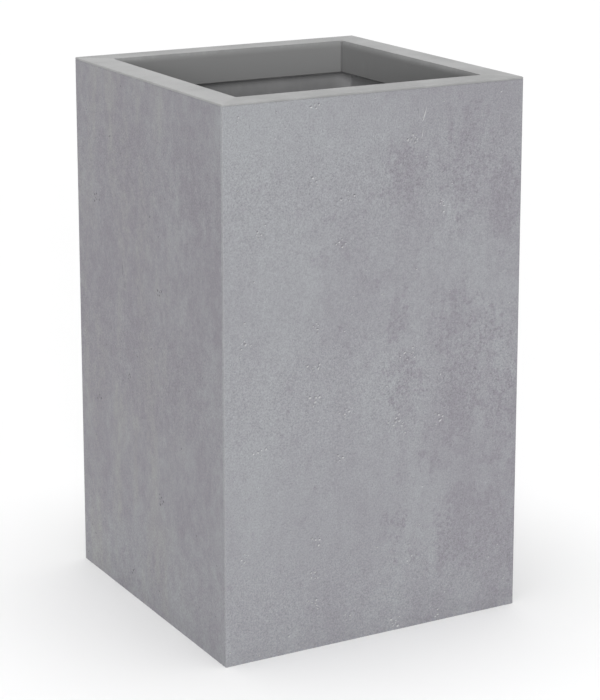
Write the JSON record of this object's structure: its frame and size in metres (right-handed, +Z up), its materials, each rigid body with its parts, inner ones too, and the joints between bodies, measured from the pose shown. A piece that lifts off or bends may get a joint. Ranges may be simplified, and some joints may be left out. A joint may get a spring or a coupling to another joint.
{
  "type": "square planter",
  "caption": "Tall square planter: drafted concrete-effect sleeve, flat turned-down rim, clip-in footed base tray with drain plug, and a lift-out planting insert with folding handles.",
  "frame": {"origin": "on the floor, at the middle of the planter's foot", "axes": "+Z up; +X to the right and -Y to the viewer, square to the sides; the handles fold about axes along Y"},
  "size_m": [0.305, 0.305, 0.5],
  "materials": {
    "concrete_effect": "matt concrete-effect print on moulded polypropylene",
    "rim_plastic": "plain mid-grey polypropylene, satin",
    "dark_plastic": "plain dark grey polypropylene",
    "insert_plastic": "recycled anthracite polypropylene",
    "handle_plastic": "grey polypropylene, satin",
    "plug_plastic": "black polyethylene",
    "foot_rubber": "black rubber"
  },
  "bodies": {
    "planter": {"outer_sleeve": "concrete_effect", "rim_frame": "rim_plastic", "base_tray": "dark_plastic", "foot_pad_front_left": "foot_rubber", "foot_pad_front_right": "foot_rubber", "foot_pad_back_left": "foot_rubber", "foot_pad_back_right": "foot_rubber"},
    "insert": {"planting_insert": "insert_plastic"},
    "left_handle": {"insert_handle_left": "handle_plastic"},
    "right_handle": {"insert_handle_right": "handle_plastic"},
    "plug": {"drain_plug": "plug_plastic", "drain_gasket": "foot_rubber"}
  },
  "joints": [
    {"name": "insert_lift", "type": "slide", "parent": "planter", "child": "insert", "axis": [0, 0, 1], "range_m": [0, 0.36]},
    {"name": "left_handle_fold", "type": "hinge", "parent": "insert", "child": "left_handle", "pos_m": [-0.012, 0, 0.4033], "axis": [0, 1, 0], "range_deg": [0, 90]},
    {"name": "right_handle_fold", "type": "hinge", "parent": "insert", "child": "right_handle", "pos_m": [0.012, 0, 0.4033], "axis": [0, -1, 0], "range_deg": [0, 90]},
    {"name": "drain_plug_pull", "type": "slide", "parent": "planter", "child": "plug", "axis": [0, 0, 1], "range_m": [0, 0.03]}
  ]
}
